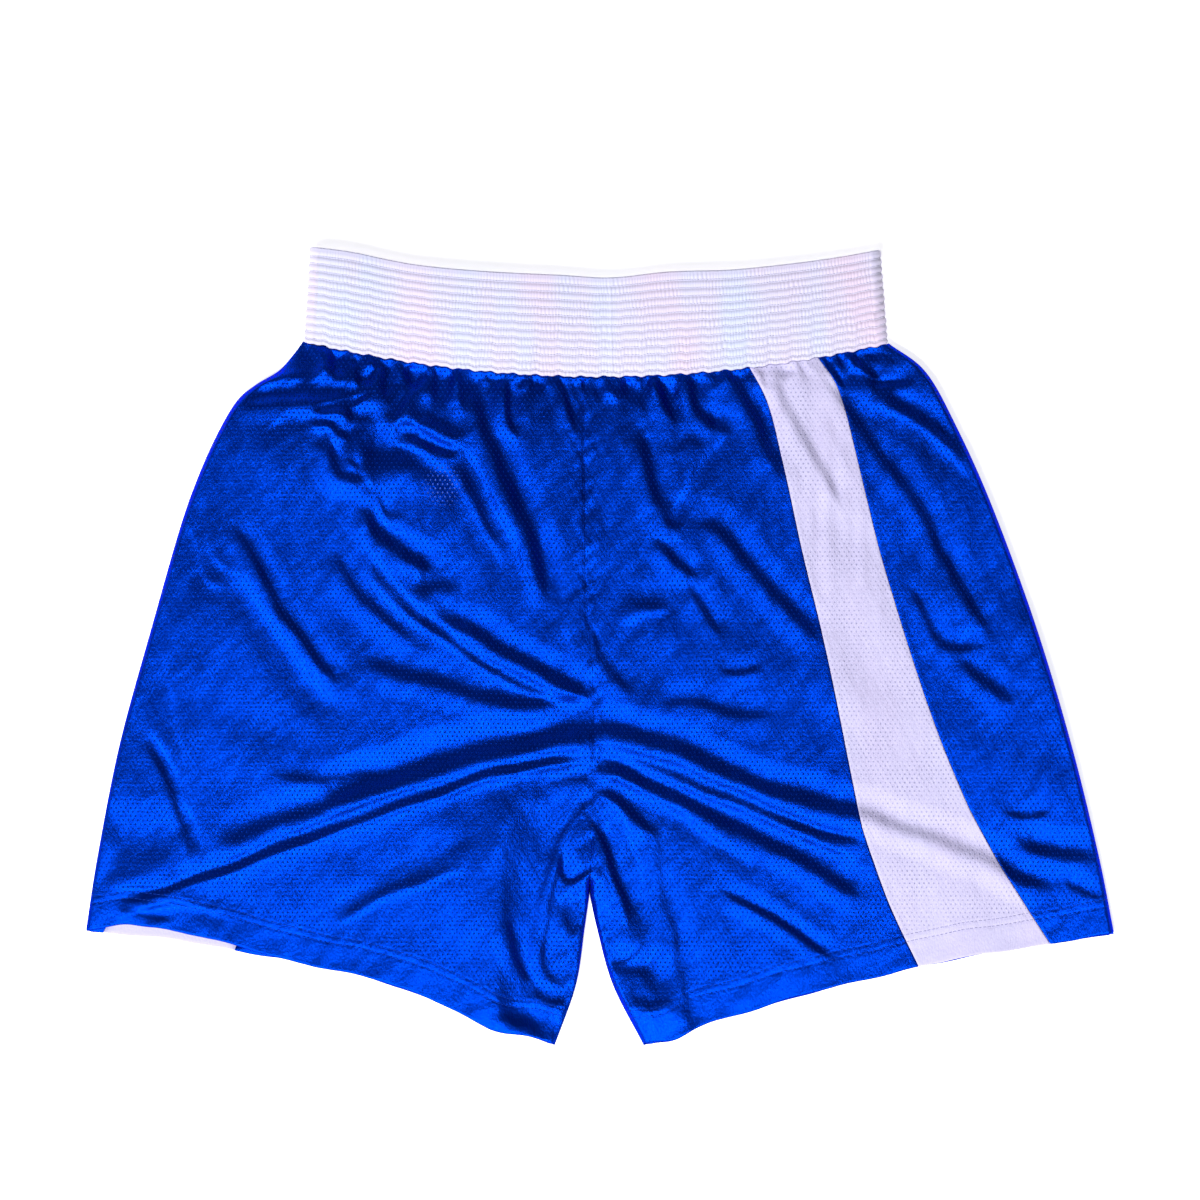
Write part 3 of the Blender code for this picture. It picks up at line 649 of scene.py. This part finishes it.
MATERIALS = {  # of each slot
    # Hole colours here are painted shade seen through the holes; the lighter hole colour near the taut spot
    # is painted light.
    "blue_mesh": mesh_cloth(
        "blue_mesh_cloth", colour=(0.0, 0.044, 0.56), dark=(0.0, 0.022, 0.3), hole=(0.002, 0.014, 0.12),
        hole_light=(0.06, 0.13, 0.6), metallic=0.95, roughness=0.39,
    ),
    "white_mesh": mesh_cloth(
        "white_mesh_cloth", colour=(0.52, 0.52, 0.75), dark=(0.51, 0.44, 0.66), hole=(0.34, 0.33, 0.54),
        hole_light=(0.34, 0.33, 0.54), metallic=0.0, roughness=0.48,
    ),
    "white_band": shirred_cloth(),
    "blue_thread": sewing_thread("blue_sewing_thread", (0.0, 0.025, 0.3), (0.0, 0.05, 0.46)),
    "white_thread": sewing_thread("white_sewing_thread", (0.6, 0.6, 0.76), (0.68, 0.68, 0.84)),
    "elastic": ribbed_elastic(),
    "label": woven_label(),
}


# ---- Meshes ----


def linked(name, data, place=(0, 0, 0)):
    thing = bpy.data.objects.new(name, data)
    thing.location = place
    bpy.context.scene.collection.objects.link(thing)
    return thing


def new_mesh(name, points, faces, uv, **attributes):
    """A smooth mesh. uv is each point's place on flat cloth. Each row of the arrays in faces is a face."""
    points, uv = np.float32(points).reshape(-1, 3), np.float32(uv).reshape(-1, 2)
    mesh = bpy.data.meshes.new(name)
    mesh.vertices.add(len(points))
    mesh.vertices.foreach_set("co", points.ravel())
    corners = np.concatenate([part.ravel() for part in faces])
    sizes = np.concatenate([np.full(len(part), part.shape[1]) for part in faces])
    mesh.loops.add(len(corners))
    mesh.loops.foreach_set("vertex_index", corners.astype(np.int32))
    mesh.polygons.add(len(sizes))
    mesh.polygons.foreach_set("loop_start", (np.cumsum(sizes) - sizes).astype(np.int32))
    mesh.polygons.foreach_set("use_smooth", np.ones(len(sizes), bool))
    mesh.uv_layers.new(name="cloth").data.foreach_set("uv", uv[corners].ravel())
    for key, values in attributes.items():
        mesh.attributes.new(key, "FLOAT", "POINT").data.foreach_set("value", np.float32(values).ravel())
    mesh.update()
    mesh.validate()
    return linked(name, mesh)


def closed_mesh(*parts, **attributes):
    """A closed mesh, with every face turned to look out."""
    piece = new_mesh(*parts, **attributes)
    work = bmesh.new()
    work.from_mesh(piece.data)
    bmesh.ops.recalc_face_normals(work, faces=work.faces)
    work.to_mesh(piece.data)
    work.free()
    return piece


def grid_quads(rows, columns, closed_rows=False, closed_columns=False):
    """Quads of a grid of points numbered row by row."""
    i = np.arange(rows if closed_rows else rows - 1)[:, None]
    j = np.arange(columns if closed_columns else columns - 1)[None, :]
    row, next_row, right = i * columns, (i + 1) % rows * columns, (j + 1) % columns
    return np.stack([row + j, row + right, next_row + right, next_row + j], axis=-1).reshape(-1, 4)


def sew(fine, coarse):
    """Triangles between a row of points and one with every second point."""
    start, middle, stop = fine[:-1:2], fine[1::2], fine[2::2]
    parts = [(start, middle, coarse[:-1]), (middle, stop, coarse[1:]), (middle, coarse[1:], coarse[:-1])]
    return np.concatenate([np.stack(part, axis=-1) for part in parts])


def sheet_solid(name, outer, thickness, uv, outward, holes):
    """Cloth with a real thickness: outer face, turned lower edge, inner face, and rims."""
    rows, columns = outer.shape[:2]
    normal = unit(np.cross(np.gradient(outer, axis=1), np.gradient(outer, axis=0)))
    if np.sign(normal[rows // 2, columns // 2, 2]) != outward:
        normal = -normal
    inner = outer - normal * thickness[..., None]
    middle, radius = (outer[0] + inner[0]) / 2, (outer[0] - inner[0]) / 2
    down = unit(outer[0] - outer[1]) * np.linalg.norm(radius, axis=-1, keepdims=True)
    turned = [middle + radius * math.cos(a) + down * math.sin(a) for a in np.linspace(0, math.pi, 7)[1:-1]]
    face = np.concatenate([outer[::-1], turned])
    index = np.arange(face[..., 0].size).reshape(len(face), columns)
    coarse = inner[::2, ::2]
    behind = index.size + np.arange(coarse[..., 0].size).reshape(coarse.shape[:2])
    faces = [
        grid_quads(len(face), columns),
        index.size + grid_quads(*coarse.shape[:2]),
        sew(index[-1], behind[0]),
        sew(index[0], behind[-1]),
        *(sew(index[:rows, column][::-1], behind[:, column]) for column in (0, -1)),
    ]
    for column in (0, -1):
        tip = np.append(index[rows - 1 :, column], behind[0, column])
        faces.append(stacked(tip[0], tip[1:-1], tip[2:]))
    points = np.concatenate([face.reshape(-1, 3), coarse.reshape(-1, 3)])
    flat = np.concatenate([uv[::-1], np.repeat(uv[:1], len(turned), axis=0)])
    flat = np.concatenate([flat.reshape(-1, 2), uv[::2, ::2].reshape(-1, 2)])
    pierced = np.concatenate([holes[::-1].ravel(), np.zeros(len(turned) * columns), holes[::2, ::2].ravel()])
    return closed_mesh(name, points, faces, flat, holes=pierced)


def tube(name, path, normals, radius, closed=False, sides=6, bulge=1.0, **attributes):
    """A thread along a path. normals point out of the cloth. bulge scales the radius at each point."""
    ahead = np.roll(path, -1, axis=0) - np.roll(path, 1, axis=0) if closed else np.gradient(path, axis=0)
    side = unit(np.cross(unit(ahead), normals))
    up = np.cross(side, unit(ahead))
    size = (radius * bulge * np.ones(len(path)))[:, None]
    turns = np.linspace(0, 2 * np.pi, sides, endpoint=False)
    points = np.stack([path + size * (np.cos(a) * side + np.sin(a) * up) for a in turns], axis=1)
    faces = [grid_quads(len(path), sides, closed_rows=closed, closed_columns=True)]
    if not closed:
        for start in (0, (len(path) - 1) * sides):
            ring = start + np.arange(sides)
            for k in range(1, sides // 2):
                faces.append(np.array([[ring[k - 1], ring[k], ring[-1 - k], ring[-k]]]))
    attributes = {key: np.repeat(values, sides) for key, values in attributes.items()}
    return closed_mesh(name, points, faces, stacked(distances(path)[:, None], turns * radius), **attributes)


# ---- Cloth pieces ----


def row_shares(step):
    """The v of a piece's rows: close together in the hem, then evenly up to the waist."""
    hem = np.arange(0, HEM_DEPTH + 0.003, min(step, 0.0008))
    count = round((CLOTH_LENGTH - hem[-1]) / step)
    count += (len(hem) + count + 1) % 2
    body = np.linspace(hem[-1] + step, CLOTH_LENGTH - 0.0002, count)
    return np.concatenate([hem, body]) / CLOTH_LENGTH


def column_shares(leg, facing, kind, v, step):
    """The u of a piece's columns in each row, closer together round a turned edge."""
    width = leg.width(v)[:, None]
    seam = 0.00004 / width
    first, last = (edge[:, None] for edge in stripe_edges(facing, v))
    low = {"stripe": first + seam, "side": last + seam}.get(kind, seam * 0.4)
    high = {"inner": first - seam, "stripe": last - seam}.get(kind, 1 - seam * 0.4)
    count = max(8, round(float((high - low).max() * width.max()) / step))
    even = np.linspace(0, 1, count + 1 + count % 2)[None, :]
    edge = 1.3 * TURN / width
    turn = np.sin(np.linspace(0, math.pi / 2, 9)[:-1])[None, :] ** 2 * edge
    before, after = [], []
    start, stop = low, high
    if kind in ("whole", "inner"):
        before, start = [low + turn], low + edge
    if kind in ("whole", "side"):
        after, stop = [high - turn[:, ::-1]], high - edge
    return np.concatenate(before + [start + (stop - start) * even] + after, axis=1)


def cloth_piece(name, leg, facing, kind, step):
    """A cut piece, and its area in the leg's plan."""
    v = row_shares(step)
    u = column_shares(leg, facing, kind, v, step)
    rows = np.repeat(v[:, None], u.shape[1], axis=1)
    hem_gap = rows * CLOTH_LENGTH
    near_edge = np.minimum(u, 1 - u) * leg.width(rows)
    in_hem = fall(hem_gap, HEM_DEPTH, HEM_DEPTH + 0.0012) * smoothstep(near_edge, 0.0005, 0.004)
    thickness = WALL + (HEM_WALL - WALL) * in_hem
    holes = smoothstep(hem_gap, HEM_DEPTH - 0.001, HEM_DEPTH + 0.001)
    outer, flat = leg.surface(u, rows, facing), leg.plan(u, rows, facing)
    area = float((leg.width(v) * (u[:, -1] - u[:, 0])).mean() * CLOTH_LENGTH)
    return sheet_solid(name, outer, thickness, flat, facing, holes), area


def offset_point(leg, u, v, facing, inward):
    """(points, outward normals) of the cloth at the given places, moved inwards."""
    step = 0.0004
    more, less = np.minimum((u + step, v + step), 1), np.maximum((u - step, v - step), 0)
    across = leg.surface(more[0], v, facing) - leg.surface(less[0], v, facing)
    along = leg.surface(u, more[1], facing) - leg.surface(u, less[1], facing)
    normal = unit(np.cross(across, along))
    normal *= np.sign(normal[..., 2:3]) * facing
    return leg.surface(u, v, facing) - normal * inward, normal


# ---- Waistband ----

BAND_BEND = [  # (x, how much higher the front lies, in millimetres)
    (-0.186, 0), (-0.16, 0.3), (-0.13, -1.1), (-0.1, 0.2), (-0.05, 0.3), (-0.004, -0.9), (0.03, 0.1),
    (0.09, 0.4), (0.14, -0.2), (0.182, 0),
]
BAND_TOP_WOBBLE = [  # (x, how much further up the top edge lies, in millimetres)
    (-0.186, 0), (-0.155, 1.8), (-0.13, 0.6), (-0.105, -0.2), (-0.031, 0.4), (0.006, -1), (0.043, 1.6),
    (0.081, 0.2), (0.105, 0), (0.155, -0.4), (0.18, 0),
]


def ring_layout(front, back, turn):
    """Round the flattened band: (share across from the right end, angle out of the band) of each point."""
    end = np.ones(turn - 1)
    share = np.concatenate([np.linspace(0, 1, front), end, np.linspace(1, 0, back), 0 * end])
    bend = np.linspace(0, np.pi, turn + 1)[1:-1]
    quarter = np.pi / 2
    angle = np.concatenate([[quarter] * front, quarter - bend, [-quarter] * back, -quarter - bend])
    return share, angle


def band_points(share, angle, height, out):
    """Points of the band: at a share of its height, and a distance out from its inner face."""
    left, right = (seam + (top - seam) * height for seam, top in (BAND_LEFT_EDGE, BAND_RIGHT_EDGE))
    left, right, radius = left - MID, right + MID, BAND_INNER + out
    x = right + (left - right) * share + radius * np.cos(angle)
    bend, wobble = (MM * np.interp(x, *smooth_curve(line).T) for line in (BAND_BEND, BAND_TOP_WOBBLE))
    front = np.clip(np.sin(angle), 0, 1)
    z = MID + radius * np.sin(angle) + (bend - BAND_LEAN * (1 - height) ** 2) * front
    low = waist_y(x)
    high = BAND_TOP_LOW + BAND_TOP_RISE * (x / BAND_HALF) ** 2 + wobble
    return stacked(x, low + (high - low) * height, z)


def rib_rows(samples):
    """(share of height, share across its rib, rib number) of each row up the band's outer face."""
    edges = [0.0] + STITCH_HEIGHTS[::-1] + [1.0]
    return [
        (low + (high - low) * k / samples, k / samples, number)
        for number, (low, high) in enumerate(zip(edges, edges[1:]))
        for k in range(samples)
    ]


def rib_outline(t, number, share, angle, along):
    """How far out a rib's surface is, and how much painted shade it gets in grooves and pucker valleys, at a
    share t across the rib.
    """
    phase, drift = np.random.default_rng(300 + number).uniform(0, 1), Ripples(0.03, 400 + number, count=8)
    position = along / PUCKER + phase + 0.6 * drift(along, along * 0)
    valley = 1 - np.abs(np.sin(np.pi * position)) ** 0.8
    calm_end = smoothstep(share * BAND_OUTLINE, 1.0, 7.0)
    join = hump((share - BAND_JOIN) * BAND_OUTLINE / 0.9) * (np.sin(angle) > 0.9)
    puff = math.sin(math.pi * t) ** 0.7
    gathered = (1 - 0.6 * hump((t - 0.6) / 0.2)) * (0.25 + 0.75 * calm_end) * valley
    out = BAND_GROOVE + BAND_RIB_PUFF * puff * (1 - 0.85 * gathered) + 0.0003 * join
    out = out - 0.00022 * (1 - puff) * valley * calm_end
    return out, np.clip((1 - puff) * 0.3 + gathered * 1.1, 0, 1)


def ring_solid(name, rings, along, up, **attributes):
    """A closed solid through rings of points, the last joined to the first."""
    quads = grid_quads(len(rings), len(along), closed_rows=True, closed_columns=True)
    return closed_mesh(name, rings, [quads], stacked(along, np.array(up)[:, None]), **attributes)


def waistband():
    """The casing: shirred ribs outside and in, a rounded top fold, and the raw edge in the seam."""
    share, angle = ring_layout(front=620, back=330, turn=12)
    along = distances(band_points(share, angle, 0.0, 0.0038))
    rows = []  # (share of height, how far out, painted shade of grooves and puckers) of each ring
    for height, t, number in rib_rows(5):
        rows.append((height, *rib_outline(t, number, share, angle, along)))
    top_out = rib_outline(0.5, 13, share, angle, along)[0]
    for turn in np.linspace(0, math.pi, 8)[1:-1]:
        height = 1 + (0.0019 * math.sin(turn) - 0.0016) / BAND_HEIGHT
        rows.append((height, top_out / 2 * (1 + math.cos(turn)), 0.0))
    for height, t, _ in rib_rows(2)[::-1]:
        rows.append((height, *((-0.00016, 0.0) if t else (0.0004, 0.5))))
    rings = [band_points(share, angle, height, out) for height, out, _ in rows]
    shades = [groove + 0 * share for *_, groove in rows]
    up = [height * BAND_HEIGHT for height, *_ in rows]
    return ring_solid("waistband_shirring", rings, along, up, groove=shades)


def band_thread(number, height):
    """One ring of stitching, in its groove."""
    share, angle = ring_layout(front=900, back=500, turn=16)
    path = band_points(share, angle, height, BAND_GROOVE + 0.00012)
    normals = unit(path - band_points(share, angle, height, BAND_GROOVE - 0.0009))
    dip = STITCH_RADIUS * np.cos(2 * np.pi * distances(path) / PUCKER + number)
    path = path + normals * dip[:, None]
    return tube(f"shirring_stitches_{number:02d}", path, normals, STITCH_RADIUS, closed=True, sides=4)


def elastic_loop():
    """The elastic inside the casing."""
    share, angle = ring_layout(front=120, back=120, turn=8)
    heights = np.linspace(0.0012 / BAND_HEIGHT, 1 - 0.003 / BAND_HEIGHT, 14)
    rings = [band_points(share, angle, height, 0.0019) for height in heights]
    rings += [band_points(share, angle, height, 0.0009) for height in heights[::-1]]
    up = np.concatenate([heights, heights[::-1]]) * BAND_HEIGHT
    return ring_solid("elastic_loop", rings, np.linspace(0, 0.72, len(share)), up)


# ---- Studio ----

FLOOR_HALF, FLOOR_Z = 6.0, -0.0002
CAMERA_HEIGHT = 3.2
VIEW_WIDTH = 0.744  # what the camera sees of the garment's plane
SENSOR = 36  # in millimetres, as is the lens


def area_light(name, place, size, power):
    """A rectangular light that looks at the origin."""
    light = bpy.data.lights.new(name, "AREA")
    light.shape = "RECTANGLE"
    light.size, light.size_y = size
    light.energy = power
    linked(name, light, place).rotation_euler = (-Vector(place)).to_track_quat("-Z", "Y").to_euler()


def studio():
    corners = FLOOR_HALF * np.array([(-1, -1, 0), (1, -1, 0), (1, 1, 0), (-1, 1, 0)])
    paint = Paint("floor", (0.93, 0.93, 0.94), 0.9, specular=0.1)
    paint.set("Emission Color", (1, 1, 1))
    paint.set("Emission Strength", 0.75)
    floor = new_mesh("floor", corners + (0, 0, FLOOR_Z), [np.array([[0, 1, 2, 3]])], corners[:, :2])
    floor.data.materials.append(paint.material)

    area_light("softbox", (-1.28, -2.04, 3.18), (1.9, 1.4), 285)
    area_light("fill", (2.0, -1.2, 0.9), (1.4, 1.0), 4.5)
    area_light("back_fill", (-0.6, 2.2, 0.7), (1.8, 0.8), 4.5)

    world = bpy.data.worlds.new("studio")
    world.use_nodes = True
    colour, strength = world.node_tree.nodes["Background"].inputs[:2]
    colour.default_value = (0.93, 0.95, 1.0, 1)
    strength.default_value = 0.065

    lens = bpy.data.cameras.new("camera")
    lens.sensor_width = SENSOR
    lens.lens = SENSOR * CAMERA_HEIGHT / VIEW_WIDTH
    scene = bpy.context.scene
    scene.world = world
    scene.camera = linked("camera", lens, (0.0, 0.0285, CAMERA_HEIGHT + 0.008))
    scene.view_settings.view_transform = "Standard"


# ---- The garment ----


def place(piece, slot, *nodes):
    piece.data.materials.append(MATERIALS[slot])
    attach(piece, "root")
    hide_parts(*nodes)


def build_cloth(left, right):
    """The cut pieces of the legs."""
    pieces = [
        ("right_front_cloth", right, 1, "whole", "blue_mesh", "right_front_panel", 0.00105),
        ("left_back_cloth", left, -1, "whole", "blue_mesh", "left_back_panel", 0.003),
    ]
    for leg, facing, where, step in ((left, 1, "left_front", 0.001), (right, -1, "right_back", 0.003)):
        for kind in ("inner", "stripe", "side"):
            slot, ending = ("white_mesh", "") if kind == "stripe" else ("blue_mesh", "_panel")
            name = f"{where}_{kind}"
            pieces.append((name + "_cloth", leg, facing, kind, slot, name + ending, step))
    for name, leg, facing, kind, slot, node, step in pieces:
        piece, area = cloth_piece(name, leg, facing, kind, step)
        place(piece, slot, node)


def rope(name, slot, path, normals, **options):
    """A seam's bundle of thread."""
    place(tube(name, path, normals, THREAD_RADIUS, **options), slot, name + "_thread")


def overlocked(name, slot, *where):
    """A knobbly bundle of thread inside the cloth, at the place that offset_point gives."""
    path, normals = offset_point(*where)
    rope(name, slot, path, normals, bulge=1 + 0.22 * np.cos(2 * np.pi * distances(path) / 0.0022))


def hem_stitches(leg, number, row):
    """A row of stitches round a leg opening. It dips into the cloth between stitches."""
    u, v = np.linspace(0.0005, 0.9995, 620), np.full(620, row / CLOTH_LENGTH)
    front, back = offset_point(leg, u, v, 1, -0.00005), offset_point(leg, u[::-1], v, -1, -0.00005)
    path, normals = (np.concatenate(pair) for pair in zip(front, back))
    up = np.cos(2 * np.pi * distances(path) / 0.0027) > -0.55
    path = path + normals * np.where(up, 0.00006, -0.0004)[:, None]
    first, last = stripe_edges(leg.sign, row / CLOTH_LENGTH)
    over = (u > first) & (u < last)
    pale = np.concatenate([over & (leg.sign > 0), over[::-1] & (leg.sign < 0)])
    name = f"{leg.side}_hem_stitches_{number}"
    ring = tube(name, path, normals, 0.00021, closed=True, sides=4, pale=pale)
    place(ring, "blue_thread", f"{leg.side}_hem_thread_{number}")


def build_seams(left, right):
    inward = WALL + 0.0006
    above_hem = (HEM_DEPTH + 0.003) / CLOTH_LENGTH
    for leg in (left, right):
        v = np.linspace(above_hem, 0.99, 560)
        overlocked(leg.side + "_side_seam", "blue_thread", leg, 1 - 0.0016 / leg.width(v), v, 1, inward)
        v = np.linspace(above_hem, FORK_V - 0.006, 130)
        overlocked(leg.side + "_inseam", "blue_thread", leg, 0.0016 / leg.width(v), v, 1, inward)
        for number, row in enumerate(HEM_STITCH_ROWS, 1):
            hem_stitches(leg, number, row)
    v = np.linspace(FORK_V + 0.12, 0.985, 360)
    for facing, which in ((1, "front"), (-1, "back")):
        where = offset_point(left, 0.0003 + 0 * v, v, facing, inward + 0.0003)
        rope(f"centre_{which}_seam", "blue_thread", *where)
    for leg, facing, where in ((left, 1, "left_front"), (right, -1, "right_back")):
        v = np.linspace(above_hem, 0.99, 480)
        for which, u in zip(("inner", "outer"), stripe_edges(facing, v)):
            overlocked(f"{where}_stripe_{which}_seam", "white_thread", leg, u, v, facing, inward + 0.0002)


def build_waist(left, right):
    place(waistband(), "white_band", "waistband_casing")
    place(elastic_loop(), "elastic", "waistband_elastic")
    for number, height in enumerate(STITCH_HEIGHTS, 1):
        place(band_thread(number, height), "white_thread", f"waistband_thread_{number:02d}")

    u, v = np.linspace(0.002, 0.975, 200), np.full(200, 1 - 0.0022 / CLOTH_LENGTH)
    runs = [
        offset_point(leg, u[::order], v, facing, WALL + 0.0007)
        for leg, facing, order in ((left, 1, 1), (left, -1, -1), (right, -1, 1), (right, 1, -1))
    ]
    path, normals = (np.concatenate(parts) for parts in zip(*runs))
    rope("waist_seam", "blue_thread", path, normals, closed=True)

    path = band_points(BAND_JOIN, math.pi / 2, np.linspace(0.04, 0.96, 60), -0.0007)
    rope("waistband_join", "white_thread", path, (0.0, 0.0, 1.0))

    low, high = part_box("size_label")
    across, down = np.meshgrid(np.linspace(low.x, high.x, 31), np.linspace(low.y, high.y, 19))
    curl = 0.0007 * ((high.y - down) / (high.y - low.y)) ** 2 + 0.0002 * np.sin(across * 400)
    outer = stacked(across, down, low.z + 0.0012 + curl)
    tag = sheet_solid("blank_label", outer, 0.0003 + 0 * across, outer[..., :2], 1, 0 * across)
    place(tag, "label", "size_label")


def corners(box):
    return [[float(value) for value in corner] for corner in box]


legs = Leg("left"), Leg("right")
build_cloth(*legs)
build_seams(*legs)
build_waist(*legs)
studio()
